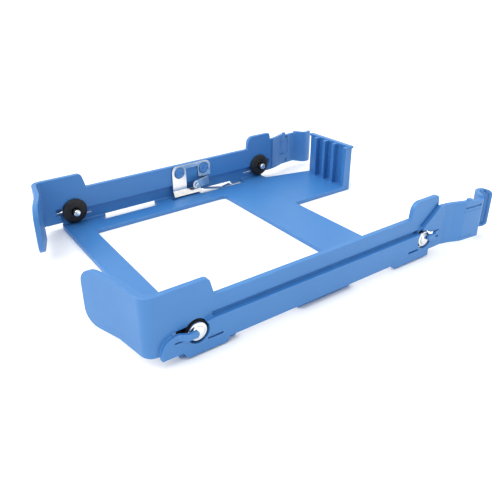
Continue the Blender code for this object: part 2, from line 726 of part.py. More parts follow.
def latch_elevation():
    """Latch seen from its side: a straight foot, a lower arm and a taller round pad."""
    pad = HALF_PITCH + LATCH_CRANK[-1][0]
    tip = HALF_PITCH + LATCH_PAD[-1][0]
    root = LATCH_ROOT - CUT_OVERRUN
    bump = [HALF_PITCH + place for place in LATCH_BUMP]
    return filleted(
        [
            (root, LATCH_FOOT, 0),
            (tip, LATCH_FOOT, LATCH_CORNER),
            (tip, LATCH_TOP, LATCH_CORNER),
            (pad, LATCH_TOP, 0),
            (pad, LATCH_ARM_TOP, 0),
            (bump[1], LATCH_ARM_TOP, 0),
            (bump[1], LATCH_TOP + LATCH_BUMP_RISE, 0),
            (bump[0], LATCH_TOP + LATCH_BUMP_RISE, 0),
            (bump[0], LATCH_TOP, 0),
            (root, LATCH_TOP, 0),
        ]
    )


def latch(side, parts, guides):
    """Latch: the arm cranks outwards, turns in sharply and folds back out as a finger pad."""
    name = f"{SIDE_NAMES[side]}_latch"
    path = [(LATCH_ROOT, BAND_OUTER, 0)]
    for place, step in LATCH_CRANK + LATCH_PAD:
        path.append((HALF_PITCH + place, BAND_OUTER + step, LATCH_BEND))
    path[-1] = (*path[-1][:2], 0)
    plan = mirrored(strip(filleted(path), -LATCH_THICKNESS), 1, side)
    high = LATCH_TOP + LATCH_BUMP_RISE + CUT_OVERRUN
    body = flat_solid(name, [plan], 0, high, PLAN, parts)
    widest = BAND_OUTER + LATCH_CRANK[-1][1]
    span = between(side, DRIVE_SIDE - LATCH_THICKNESS, widest + LATCH_THICKNESS)
    outline = flat_solid(f"{name}_outline", [latch_elevation()], *span, ELEVATION, guides)
    combine(body, outline, "INTERSECT")
    pocket_floor = BAND_OUTER + LATCH_CRANK[1][1] - LATCH_THICKNESS + POCKET_DEPTH
    depth = between(side, DRIVE_SIDE, pocket_floor)
    pocket_low = (HALF_PITCH + POCKET[0], depth[0], POCKET_HEIGHTS[0])
    pocket_high = (HALF_PITCH + POCKET[1], depth[1], POCKET_HEIGHTS[1])
    combine(body, box(f"{name}_pocket", pocket_low, pocket_high, guides), "DIFFERENCE")
    return hinge_at(body, (LATCH_ROOT, side * HINGE_SIDE, LATCH_FOOT))


def hinge_at(body, origin):
    """Move a piece's origin onto its hinge axis, with its shape left in place."""
    body.data.transform(Matrix.Translation(-Vector(origin)))
    body.location = origin
    return body


def clip_outline():
    """Clip plate seen from the side, with the open window that the finger lies over."""
    ledge = FINGER_HIGH + JOINT_GAP
    return filleted(
        [
            (CLIP_LEFT, 0, 0),
            (CLIP_FOOT_END, 0, 0),
            (CLIP_FOOT_END, CLIP_FOLD, 0),
            (CLIP_WINDOW[0], CLIP_FOLD, 0),
            (CLIP_WINDOW[0], CLIP_WINDOW_TOP, 0),
            (CLIP_WINDOW[1], CLIP_WINDOW_TOP, 0),
            (CLIP_WINDOW[1], ledge, 0),
            (CLIP_RIGHT, ledge, 0),
            (CLIP_RIGHT, CLIP_TOP, CLIP_CORNER),
            (CLIP_LEFT, CLIP_TOP, CLIP_CORNER),
        ]
    )


def clip_plate(parts, guides):
    """Stamped clip plate: two lugs over the stakes, a bridge between them and a slanted foot."""
    foot = CLIP_BACK - CLIP_FOOT_REACH
    section = [(CLIP_BACK, CLIP_TOP, 0), (CLIP_BACK, CLIP_FOLD, 0), (foot, CLIP_FOOT, 0)]
    profile = strip(filleted(section), -SHEET)
    plate = flat_solid("clip_plate", [profile], CLIP_LEFT, CLIP_RIGHT, END_VIEW, parts)
    span = (foot - SHEET - CUT_OVERRUN, PANEL_INNER)
    outline = flat_solid("clip_outline", [clip_outline()], *span, ELEVATION, guides)
    combine(plate, outline, "INTERSECT")
    for index, place in enumerate(STAKE_PLACES):
        centre = (place, CLIP_BACK, STAKE_HEIGHT)
        radius = STAKE_RADIUS + JOINT_GAP
        hole = cylinder(f"lug_hole_{index + 1}", centre, radius, PANEL_THICKNESS, guides)
        combine(plate, hole, "DIFFERENCE")
    return plate


def clip_finger(parts):
    """Spring finger that presses on the drive's side, with a curled tip."""
    face = CLIP_BACK - SHEET
    path = [
        (FINGER_ROOT, face, 0),
        (FINGER_ROOT - FINGER_LENGTH * FINGER_CREST, face - FINGER_REACH, FINGER_CURL),
        (FINGER_ROOT - FINGER_LENGTH, face - FINGER_REACH + FINGER_CURL, 0),
    ]
    plan = strip(filleted(path), -SHEET)
    finger = flat_solid("clip_finger", [plan], FINGER_LOW, FINGER_HIGH, PLAN, parts)
    return hinge_at(finger, (FINGER_ROOT, CLIP_BACK - SHEET / 2, FINGER_LOW))


def clip_leaf(parts):
    """Spring leaf that dips into the floor's slot to touch the computer's chassis."""
    dip = LEAF_HEIGHT - LEAF_DIP
    path = [
        (LEAF_ROOT, LEAF_HEIGHT, 0),
        (LEAF_ROOT + LEAF_LENGTH * LEAF_LOW_POINT, dip, 0),
        (LEAF_ROOT + LEAF_LENGTH, dip + LEAF_TIP_RISE, 0),
    ]
    side = SLOT_SIDE + LEAF_SIDE_GAP
    profile = strip(filleted(path), SHEET)
    leaf = flat_solid("clip_leaf", [profile], side, side + LEAF_WIDTH, ELEVATION, parts)
    return hinge_at(leaf, (LEAF_ROOT, side, LEAF_HEIGHT))


def centre_on_origin(frame, parts):
    """Move the frame so that the tray's box is centred over the origin."""
    bpy.context.view_layer.update()
    depsgraph = bpy.context.evaluated_depsgraph_get()
    places = []
    for solid in parts.objects:
        shown = solid.evaluated_get(depsgraph)
        places += [(shown.matrix_world @ Vector(corner)).x for corner in shown.bound_box]
    frame.location.x = -(min(places) + max(places)) / 2


def main():
    """Build every piece of the tray and stand it over the origin."""
    clear_scene()
    parts = new_collection("drive_tray")
    guides = new_collection("guides")
    blue = blue_moulding()
    rubber = black_rubber()
    steel = bright_steel()
    finishes = {}
    finishes[tray_floor(parts, guides)] = blue
    for side in (NEAR, FAR):
        finishes[rail(side, parts, guides)] = blue
        finishes[latch(side, parts, guides)] = blue
        for end in (REAR, FRONT):
            finishes[pin_tongue(side, end, parts, guides)] = blue
            finishes[grommet(side, end, parts)] = rubber
            finishes[pin(side, end, parts)] = steel
    finishes[clip_plate(parts, guides)] = steel
    finishes[clip_finger(parts)] = steel
    finishes[clip_leaf(parts)] = steel
    frame = bpy.data.objects.new("tray_frame", None)
    parts.objects.link(frame)
    for solid, material in finishes.items():
        solid.data.materials.clear()
        solid.data.materials.append(material)
        solid.parent = frame
    for guide in guides.objects:
        guide.parent = frame
    centre_on_origin(frame, parts)


if __name__ == "__main__":
    main()
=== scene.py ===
"""Finished look of a snap-in tray for a 3.5-inch hard drive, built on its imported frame.

The blue moulding is made from working copies of the frame's solids, whose edges are rounded and
whose finger pads, recesses, dimples and fillets are added. Grommets and pins are turned, the
earthing clip is stamped, and soft fillets join the moulding across its flexing webs.
"""

import math

import bmesh
import bpy
from bpy.props import FloatProperty, FloatVectorProperty, IntProperty, PointerProperty
from mathutils import Matrix, Vector


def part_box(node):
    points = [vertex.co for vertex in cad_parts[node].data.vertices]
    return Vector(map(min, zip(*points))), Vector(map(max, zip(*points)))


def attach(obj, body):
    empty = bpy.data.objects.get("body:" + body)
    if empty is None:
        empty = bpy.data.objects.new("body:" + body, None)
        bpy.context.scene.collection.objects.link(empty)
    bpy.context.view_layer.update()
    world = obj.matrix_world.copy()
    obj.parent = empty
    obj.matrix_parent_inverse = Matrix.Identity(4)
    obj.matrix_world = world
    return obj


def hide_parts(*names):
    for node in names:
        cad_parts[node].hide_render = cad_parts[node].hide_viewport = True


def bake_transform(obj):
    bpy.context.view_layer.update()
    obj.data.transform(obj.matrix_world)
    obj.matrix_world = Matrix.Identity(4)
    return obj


bl_info = {
    "name": "Hard Drive Tray",
    "version": (1, 0, 0),
    "blender": (4, 5, 0),
    "location": "3D View > Sidebar > Drive Tray",
    "description": "Builds the finished pieces of a snap-in hard drive tray on its packed frame",
    "category": "Add Mesh",
}

MM = 0.001
RUBBED = "rubbed"
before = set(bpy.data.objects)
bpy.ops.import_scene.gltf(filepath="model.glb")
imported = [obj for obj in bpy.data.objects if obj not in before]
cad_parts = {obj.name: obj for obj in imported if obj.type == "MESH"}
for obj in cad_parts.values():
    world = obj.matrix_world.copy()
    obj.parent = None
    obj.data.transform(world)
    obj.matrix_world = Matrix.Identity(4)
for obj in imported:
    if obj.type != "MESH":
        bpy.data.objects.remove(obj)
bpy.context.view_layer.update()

SIGN = {"near": -1, "far": 1, "rear": -1, "front": 1}
SIDES = ("near", "far")
ENDS = ("rear", "front")
X_AXIS, Y_AXIS = 0, 1

# Tolerances of the mesh work
WELD = 0.01 * MM
FINE_WELD = 0.001 * MM
TOUCH = 0.02 * MM
SUNK = 0.05 * MM
LONG_RUN = 6 * MM
FLAT_ANGLE = math.radians(1)
CORNER_ANGLE = math.radians(25)
SMOOTH_ANGLE = math.radians(38)


def middle(node):
    """Centre of a CAD node's box."""
    low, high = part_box(node)
    return (low + high) / 2


# Places read from the frame
PIN_X = {end: middle(f"near_pin_{end}").x for end in ENDS}
PIN_Z = middle("near_pin_rear").z
BAND_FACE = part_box("far_pin_rear")[1].y
PIN_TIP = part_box("far_pin_rear")[0].y
RAIL_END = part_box("near_rail")[1].x
FLOOR_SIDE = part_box("tray_floor")[1].y
GROMMET_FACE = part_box("far_grommet_rear")[0].y
GROMMET_NECK_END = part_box("far_grommet_rear")[1].y
GROMMET_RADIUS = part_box("far_grommet_rear")[1].z - PIN_Z
HEAD_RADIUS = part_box("far_pin_rear")[1].z - PIN_Z
CLIP_MIDDLE = middle("clip_plate")

# Places of the moulding's holes along X
SLIT_INBOARD = 5.9 * MM
STAKE_X = (CLIP_MIDDLE.x - 6.8 * MM, CLIP_MIDDLE.x + 6.9 * MM)
CLIP_HOLE_X = CLIP_MIDDLE.x - 10.0 * MM
POCKET_X = RAIL_END + 11.2 * MM

# Rails: the corner pocket goes by how far its ends lie behind the gusset's foot
CLIP_REACH = 15 * MM
CORNER_POCKET = (3.2 * MM, 1.2 * MM)
BAND_PAST_PIN = 9 * MM
BAND_END_MARGIN = 1 * MM
FACE_REACH = 5 * TOUCH
DIMPLE_DEPTH = 0.3 * MM
DIMPLE_TAPER = 0.6
STAKE_REACH = 3

# Flexing webs: from the floor's side to the rail's panel
FLOOR_TOP = 2.0 * MM
PANEL_GAP = 0.3 * MM
WEB_FOOT = 0.6 * MM
WEB_DROP = 0.3 * MM
FILLET_STEPS = 6

# Latches: recesses go by how far they lie past the rail's end, and by height
FINE_ROUNDING = 0.75
OUTER_REACH = (54 * MM, 62 * MM)
INNER_REACH = (50 * MM, 62 * MM)
WIDE_GROOVE = ((9.15 * MM, 17.75 * MM), (16.9 * MM, 17.8 * MM))
FINE_GROOVES = (
    ((8.55 * MM, 17.75 * MM), (15.6 * MM, 15.85 * MM)),
    ((8.15 * MM, 14.55 * MM), (4.5 * MM, 4.75 * MM)),
)
FINE_SHARE = 0.25
NOTCHES = (
    ((12.15 * MM, 13.75 * MM), (17.6 * MM, 19.0 * MM)),
    ((12.15 * MM, 13.75 * MM), (4.2 * MM, 6.0 * MM)),
)
DEEP_SHARE = 2
PAD_FACING = 0.95
PAD_LEAST_AREA = 20 * MM**2

# Tongues
ROOT_REACH = 1.4 * MM
ROOT_GAP = 0.45 * MM
TONGUE_ROUNDING = 0.8

# Grommets: depths are measured from the face inside the tray
BORE_CLEARANCE = 0.25 * MM
NECK_CLEARANCE = 0.4 * MM
FLANGE_BACK = 1.3 * MM
FLANGE_ROUNDING = 0.3 * MM
CROWN_RADIUS = 2.5 * MM
CROWN_DEPTH = 0.95 * MM
BORE_LIP = 0.35 * MM
BORE_ROUNDING = 0.25 * MM
CORNER_STEPS = 4
CROWN_STEPS = 12
LIP_STEPS = 3

# Pins: heights and drops are measured from the band's face
BOSS_PROUD = 0.15 * MM
BOSS_DISH = 0.02 * MM
BOSS_DISH_SHARE = 0.55
BOSS_ROUNDING = 0.3 * MM
BOSS_SHOULDER = 0.35 * MM
FLANGE_DROP = 0.4 * MM
FLANGE_CORNER = 0.25 * MM
FLANGE_FOOT_DROP = 1.3 * MM
FOOT_FILLET = (0.05 * MM, 0.2 * MM)
NECK_FILLET = 0.1 * MM
TIP_ROUNDING = 0.5 * MM
TIP_STEPS = 5

# Contact finger
SHEET = 0.45 * MM
SHEET_SHARE = 0.9
END_STEPS = 20
BEND_STEPS = 9
PRESSED_RADIUS = 0.95 * MM
PRESSED_STEPS = 24
PRESSED_DEPTH = 0.35 * MM
PRESSED_TAPER = 0.45

# Materials
PLASTIC_IOR = 1.6
RUBBER_BLOOM = (0.03, 0.03, 0.032)
BRIGHT_EDGE = (0.95, 0.95, 0.94)
STREAK_STRETCH = (40, 700, 700)
FLOW_STRETCH = (1, 1, 1.6)
ROLLING_STRETCH = (60, 60, 5200)

# Studio
STUDIO_REACH = 40
STUDIO_SQUARES = 8
KEY_DIRECTION = (-0.45, 0.1, 0.85)
KEY_SPREAD = math.radians(70)
SENSOR_WIDTH = 36
CAMERA_SHIFT = (0.0459, -0.0563)
CLIP_RANGE = (0.01, 50)


class MouldingSizes(bpy.types.PropertyGroup):
    """Sizes of the moulding's finished edges and details."""

    edge_radius: FloatProperty(
        name="Edge Radius",
        description="Rounding of the moulding's outer edges",
        default=0.26 * MM,
        unit="LENGTH",
        subtype="DISTANCE",
    )
    panel_step: FloatProperty(
        name="Panel Step",
        description="How far the rail's band stands out of its panel",
        default=1.5 * MM,
        unit="LENGTH",
        subtype="DISTANCE",
    )
    groove_width: FloatProperty(
        name="Groove Width",
        description="Width of the groove in the panel over the band's ledge",
        default=1.3 * MM,
        unit="LENGTH",
        subtype="DISTANCE",
    )
    groove_depth: FloatProperty(
        name="Groove Depth",
        description="Depth of the groove in the panel over the band's ledge",
        default=0.8 * MM,
        unit="LENGTH",
        subtype="DISTANCE",
    )
    foot_fillet: FloatProperty(
        name="Foot Fillet",
        description="Radius of the flexing fillet between the floor and a rail",
        default=0.8 * MM,
        unit="LENGTH",
        subtype="DISTANCE",
    )
    pad_rim: FloatProperty(
        name="Pad Rim",
        description="Width of the rim round a latch's finger pad",
        default=1.1 * MM,
        unit="LENGTH",
        subtype="DISTANCE",
    )
    pad_depth: FloatProperty(
        name="Pad Depth",
        description="How far a latch's finger pad is sunk inside its rim",
        default=0.4 * MM,
        unit="LENGTH",
        subtype="DISTANCE",
    )
    mark_depth: FloatProperty(
        name="Mark Depth",
        description="Depth of the shallow recesses on the latches",
        default=0.35 * MM,
        unit="LENGTH",
        subtype="DISTANCE",
    )


class FittingSizes(bpy.types.PropertyGroup):
    """Sizes of the turned and stamped fittings."""

    turn_steps: IntProperty(
        name="Turn Steps",
        description="Segments round a turned piece",
        default=64,
        min=12,
    )
    shank_radius: FloatProperty(
        name="Shank Radius",
        description="Radius of a pin's shank",
        default=1.5 * MM,
        unit="LENGTH",
        subtype="DISTANCE",
    )
    boss_radius: FloatProperty(
        name="Boss Radius",
        description="Radius of the raised middle of a pin's head",
        default=2.05 * MM,
        unit="LENGTH",
        subtype="DISTANCE",
    )
    sheet_edge: FloatProperty(
        name="Sheet Edge",
        description="Rounding of the stamped sheet's edges",
        default=0.09 * MM,
        unit="LENGTH",
        subtype="DISTANCE",
    )
    dimple_radius: FloatProperty(
        name="Dimple Radius",
        description="Radius of the dimple in the middle of a stake",
        default=0.75 * MM,
        unit="LENGTH",
        subtype="DISTANCE",
    )


class TrayColours(bpy.types.PropertyGroup):
    """Colours of the tray's materials."""

    blue: FloatVectorProperty(
        name="Moulding Blue",
        description="Colour of the moulded plastic",
        subtype="COLOR",
        default=(0.054, 0.2, 0.465),
        min=0,
        max=1,
    )
    worn_blue: FloatVectorProperty(
        name="Worn Blue",
        description="Paler blue of the moulding's rubbed edges",
        subtype="COLOR",
        default=(0.11, 0.25, 0.52),
        min=0,
        max=1,
    )
    rubber: FloatVectorProperty(
        name="Rubber",
        description="Colour of the grommets",
        subtype="COLOR",
        default=(0.012, 0.012, 0.013),
        min=0,
        max=1,
    )
    steel: FloatVectorProperty(
        name="Steel",
        description="Colour of the plated pins and the clip",
        subtype="COLOR",
        default=(0.78, 0.78, 0.76),
        min=0,
        max=1,
    )
    floor: FloatVectorProperty(
        name="Studio Floor",
        description="Colour of the studio's floor",
        subtype="COLOR",
        default=(0.92, 0.92, 0.92),
        min=0,
        max=1,
    )


class StudioSettings(bpy.types.PropertyGroup):
    """Camera and light of the studio."""

    camera_place: FloatVectorProperty(
        name="Camera Place",
        description="Where the camera stands",
        subtype="TRANSLATION",
        unit="LENGTH",
        default=(-0.12131, -0.16822, 0.10562),
    )
    camera_turn: FloatVectorProperty(
        name="Camera Turn",
        description="How the camera is turned",
        subtype="EULER",
        unit="ROTATION",
        default=(math.radians(64.474), math.radians(1.085), math.radians(-33.637)),
    )
    focal_length: FloatProperty(
        name="Focal Length",
        description="Focal length in millimetres, on a sensor 36 mm wide",
        default=38.83,
    )
    sky: FloatProperty(
        name="Sky",
        description="Brightness of the white surroundings",
        default=0.95,
    )
    key: FloatProperty(
        name="Key Light",
        description="Strength of the large soft light",
        default=1.5,
    )


def merged_copy(node, cuts=()):
    """Working copy of a CAD node, with its loose triangles merged into whole faces.

    A face with a hole in it is split by a cut through the hole, at a place on the X axis.
    """
    work = bmesh.new()
    work.from_mesh(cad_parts[node].data)
    bmesh.ops.remove_doubles(work, verts=work.verts, dist=WELD)
    for place in cuts:
        cut = bmesh.ops.bisect_plane(
            work,
            geom=[*work.verts, *work.edges, *work.faces],
            dist=WELD,
            plane_co=(place, 0, 0),
            plane_no=(1, 0, 0),
        )
        for item in cut["geom_cut"]:
            if isinstance(item, bmesh.types.BMEdge):
                item.seam = True
    bmesh.ops.dissolve_limit(
        work, angle_limit=FLAT_ANGLE, verts=work.verts, edges=work.edges, delimit={"SEAM"}
    )
    return work


def lies_on(edge, axis, place):
    """True if an edge lies in the plane at a place on an axis."""
    return all(abs(vert.co[axis] - place) < TOUCH for vert in edge.verts)


def round_edges(work, width, segments=3, butts=()):
    """Round every corner edge except those of the butt planes, where the next piece carries on."""
    rubbed = work.faces.layers.float.new(RUBBED)
    edges = []
    for edge in work.edges:
        if len(edge.link_faces) != 2 or edge.calc_face_angle() < CORNER_ANGLE:
            continue
        if not any(lies_on(edge, axis, place) for axis, place in butts):
            edges.append(edge)
    rounded = bmesh.ops.bevel(
        work,
        geom=edges,
        offset=width,
        offset_type="OFFSET",
        affect="EDGES",
        segments=segments,
        profile=0.5,
        material=-1,
        clamp_overlap=False,
    )
    for face in rounded["faces"]:
        face[rubbed] = 1.0


def facing(work, normal, low, high):
    """Faces that look along a normal and have some of themselves between two corners."""
    found = []
    for face in work.faces:
        if face.normal.dot(normal) < math.cos(CORNER_ANGLE):
            continue
        spans = [[vert.co[axis] for vert in face.verts] for axis in range(3)]
        if all(
            min(span) < high[axis] - TOUCH and max(span) > low[axis] + TOUCH
            for axis, span in enumerate(spans)
        ):
            found.append(face)
    return found


def box_patch(work, normal, low, high):
    """Patch cut by a box's outline out of the faces that look along a normal."""
    planes = []
    for axis in range(3):
        if abs(normal[axis]) < math.cos(CORNER_ANGLE):
            outward = Vector((0, 0, 0))
            outward[axis] = 1
            planes += [(Vector(low), -outward), (Vector(high), outward)]
    return face_patch(work, normal, low, high, planes)


def face_patch(work, normal, low, high, planes):
    """Cut planes into the faces that look along a normal, and give those behind every plane."""
    normal = Vector(normal).normalized()
    for place, outward in planes:
        faces = facing(work, normal, low, high)
        edges = {edge for face in faces for edge in face.edges}
        verts = {vert for face in faces for vert in face.verts}
        bmesh.ops.bisect_plane(
            work, geom=[*faces, *edges, *verts], dist=WELD, plane_co=place, plane_no=outward
        )
    inside = []
    for face in facing(work, normal, low, high):
        centre = face.calc_center_median()
        if all((centre - place).dot(outward) < 0 for place, outward in planes):
            inside.append(face)
    if not inside:
        raise RuntimeError(f"no face lies between {low} and {high}")
    return inside


def push(work, faces, distance):
    """Raise a patch of faces along their mean normal, or sink it if the distance is negative."""
    direction = sum((face.normal * face.calc_area() for face in faces), Vector()).normalized()
    grown = bmesh.ops.extrude_face_region(work, geom=faces)["geom"]
    verts = [item for item in grown if isinstance(item, bmesh.types.BMVert)]
    bmesh.ops.translate(work, vec=direction * distance, verts=verts)
    bmesh.ops.delete(work, geom=faces, context="FACES_KEEP_BOUNDARY")
    return [item for item in grown if isinstance(item, bmesh.types.BMFace)]


def shrink(work, faces, factor):
    """Draw a flat patch of faces in towards its middle."""
    verts = list({vert for face in faces for vert in face.verts})
    centre = sum((vert.co for vert in verts), Vector()) / len(verts)
    bmesh.ops.scale(work, vec=(factor,) * 3, verts=verts, space=Matrix.Translation(-centre))


def arc(centre, radii, start, stop, steps):
    """Points of an elliptic arc between two angles in degrees."""
    points = []
    for step in range(steps + 1):
        angle = math.radians(start + (stop - start) * step / steps)
        across = centre[0] + radii[0] * math.cos(angle)
        points.append((across, centre[1] + radii[1] * math.sin(angle)))
    return points


def closed_loop(work, points):
    """Closed loop of edges through points."""
    verts = [work.verts.new(point) for point in points]
    return [work.edges.new(pair) for pair in zip(verts, verts[1:] + verts[:1])]


def skin(work, rings):
    """Skin over rings of points, closed at both ends."""
    loops = [closed_loop(work, ring) for ring in rings]
    for first, second in zip(loops, loops[1:]):
        bmesh.ops.bridge_loops(work, edges=first + second)
    bmesh.ops.edgeloop_fill(work, edges=loops[0])
    bmesh.ops.edgeloop_fill(work, edges=loops[-1])


def turn_profile(work, profile, side, end, steps):
    """Turn a profile of (radius, distance from the tray's middle) about a pin's axis.

    A profile that starts away from the axis is closed first.
    """
    axis = Vector((0, SIGN[side], 0))
    centre = Vector((PIN_X[end], 0, PIN_Z))
    verts = [
        work.verts.new(centre + Vector((radius, 0, 0)) + axis * distance)
        for radius, distance in profile
    ]
    edges = [work.edges.new(pair) for pair in zip(verts, verts[1:])]
    if profile[0][0] > 0:
        edges.append(work.edges.new((verts[-1], verts[0])))
    bmesh.ops.spin(
        work,
        geom=verts + edges,
        cent=centre,
        axis=axis,
        angle=math.tau,
        steps=steps,
        use_merge=True,
    )
    bmesh.ops.remove_doubles(work, verts=work.verts, dist=FINE_WELD)
    bmesh.ops.recalc_face_normals(work, faces=work.faces)


def piece(name, work, material):
    """Object made of a working mesh, evenly shaded, with its material."""
    mesh = bpy.data.meshes.new(name)
    work.to_mesh(mesh)
    work.free()
    mesh.shade_smooth()
    mesh.set_sharp_from_angle(angle=SMOOTH_ANGLE)
    mesh.materials.append(material)
    made = bpy.data.objects.new(name, mesh)
    bpy.context.scene.collection.objects.link(made)
    even = made.modifiers.new("Even Shading", "WEIGHTED_NORMAL")
    even.keep_sharp = True
    return made


def tongue_root(side, end):
    """Place of the edge of the rail's window at a tongue's root."""
    low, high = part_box(f"{side}_tongue_{end}")
    root = high.x if end == "front" else low.x
    places = [
        vert.co.x
        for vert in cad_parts[f"{side}_rail"].data.vertices
        if low.z - ROOT_REACH < vert.co.z < high.z + ROOT_REACH
        and abs(vert.co.y) > BAND_FACE - TOUCH
    ]
    return min(places, key=lambda place: abs(place - root - SIGN[end] * ROOT_GAP))


def band_runs(side):
    """Long straight spans (x, z) of the upper edge of a rail's band."""
    work = merged_copy(f"{side}_rail")
    face_y = SIGN[side] * BAND_FACE
    spans = []
    for edge in work.edges:
        if not lies_on(edge, Y_AXIS, face_y) or edge.calc_length() < LONG_RUN:
            continue
        first, second = sorted((vert.co.x, vert.co.z) for vert in edge.verts)
        upper = min(first[1], second[1]) > PIN_Z
        starts_late = first[0] > PIN_X["rear"] - BAND_PAST_PIN
        ends_early = second[0] < RAIL_END - BAND_END_MARGIN
        if upper and starts_late and ends_early:
            spans.append((first, second))
    work.free()
    return spans


def node_group(name, inputs, outputs):
    """Empty shader node group with number inputs and named outputs."""
    group = bpy.data.node_groups.new(name, "ShaderNodeTree")
    for label, value in inputs:
        socket = group.interface.new_socket(label, in_out="INPUT", socket_type="NodeSocketFloat")
        socket.default_value = value
    for label in outputs:
        group.interface.new_socket(label, in_out="OUTPUT", socket_type="NodeSocketFloat")
    entry = group.nodes.new("NodeGroupInput")
    exit_node = group.nodes.new("NodeGroupOutput")
    return group, entry, exit_node


def add_noise(tree, vector, scale, detail, roughness=0.55):
    """Noise texture; its scale is a number or a socket."""
    noise = tree.nodes.new("ShaderNodeTexNoise")
    noise.inputs["Detail"].default_value = detail
    noise.inputs["Roughness"].default_value = roughness
    tree.links.new(vector, noise.inputs["Vector"])
    if isinstance(scale, (int, float)):
        noise.inputs["Scale"].default_value = scale
    else:
        tree.links.new(scale, noise.inputs["Scale"])
    return noise.outputs["Fac"]


def add_range(tree, value, from_low, from_high, to_low=0.0, to_high=1.0):
    """Map a value from one range to another, and clamp it."""
    ranged = tree.nodes.new("ShaderNodeMapRange")
    tree.links.new(value, ranged.inputs["Value"])
    for label, number in (
        ("From Min", from_low),
        ("From Max", from_high),
        ("To Min", to_low),
        ("To Max", to_high),
    ):
        ranged.inputs[label].default_value = number
    return ranged.outputs["Result"]


def add_math(tree, operation, first, second):
    """Math node on two sockets or numbers."""
    node = tree.nodes.new("ShaderNodeMath")
    node.operation = operation
    for socket, value in zip(node.inputs, (first, second)):
        if isinstance(value, (int, float)):
            socket.default_value = value
        else:
            tree.links.new(value, socket)
    return node.outputs["Value"]


def object_place(tree, stretch=(1, 1, 1)):
    """Object coordinates, stretched by a Mapping node."""
    place = tree.nodes.new("ShaderNodeTexCoord")
    mapping = tree.nodes.new("ShaderNodeMapping")
    mapping.inputs["Scale"].default_value = stretch
    tree.links.new(place.outputs["Object"], mapping.inputs["Vector"])
    return mapping.outputs["Vector"]


def grain_group():
    """Fine surface grain: a height that a Bump node reads."""
    group, entry, exit_node = node_group("fine_grain", [("Scale", 2600.0)], ["Height"])
    place = object_place(group)
    fine = add_noise(group, place, scale=entry.outputs["Scale"], detail=3.0)
    swirl = add_noise(group, place, scale=420.0, detail=2.0)
    mixed = add_math(group, "ADD", add_math(group, "MULTIPLY", fine, 0.7), swirl)
    group.links.new(mixed, exit_node.inputs["Height"])
    return group


def wear_group():
    """Edge wear and handling marks, as two masks."""
    inputs = [("Edge Amount", 0.6), ("Mark Scale", 160.0)]
    group, entry, exit_node = node_group("rubbed_edges", inputs, ["Edges", "Marks"])
    place = object_place(group)
    rubbed = group.nodes.new("ShaderNodeAttribute")
    rubbed.attribute_name = RUBBED
    patchy = add_noise(group, place, scale=240.0, detail=4.0)
    patches = add_range(group, patchy, from_low=0.35, from_high=0.7)
    worn = add_math(group, "MULTIPLY", rubbed.outputs["Fac"], patches)
    edges = add_math(group, "MULTIPLY", worn, entry.outputs["Edge Amount"])
    group.links.new(edges, exit_node.inputs["Edges"])
    spots = add_noise(group, place, scale=entry.outputs["Mark Scale"], detail=5.0, roughness=0.65)
    marks = add_range(group, spots, from_low=0.4, from_high=0.7)
    streaks = add_noise(group, object_place(group, STREAK_STRETCH), scale=1.0, detail=3.0)
    both = add_math(group, "MULTIPLY", marks, streaks)
    group.links.new(both, exit_node.inputs["Marks"])
    return group


def shared_group(name, build):
    """Node group that is built once and then shared."""
    return bpy.data.node_groups.get(name) or build()


def new_material(name):
    """Material with its Principled shader, and its node tree."""
    material = bpy.data.materials.new(name)
    material.use_nodes = True
    return material, material.node_tree, material.node_tree.nodes["Principled BSDF"]


def add_mix(tree, factor, first, second):
    """Colour mix; each colour is a value or a socket."""
    mix = tree.nodes.new("ShaderNodeMix")
    mix.data_type = "RGBA"
    tree.links.new(factor, mix.inputs["Factor"])
    for label, colour in (("A", first), ("B", second)):
        socket = [item for item in mix.inputs if item.name == label and item.type == "RGBA"][0]
        if isinstance(colour, bpy.types.NodeSocket):
            tree.links.new(colour, socket)
        else:
            socket.default_value = (*colour, 1)
    return [item for item in mix.outputs if item.type == "RGBA"][0]


def add_bump(tree, shader, height, distance, strength):
    """Bump that feeds a shader's normal."""
    bump = tree.nodes.new("ShaderNodeBump")
    bump.inputs["Distance"].default_value = distance
    bump.inputs["Strength"].default_value = strength
    tree.links.new(height, bump.inputs["Height"])
    tree.links.new(bump.outputs["Normal"], shader.inputs["Normal"])


def add_group(tree, group, **values):
    """Placed node group with its own input values."""
    node = tree.nodes.new("ShaderNodeGroup")
    node.node_tree = group
    for label, value in values.items():
        node.inputs[label.replace("_", " ")].default_value = value
    return node


def shades(colour, low, high):
    """Darker and lighter shade of a colour."""
    return tuple(part * low for part in colour), tuple(min(1, part * high) for part in colour)


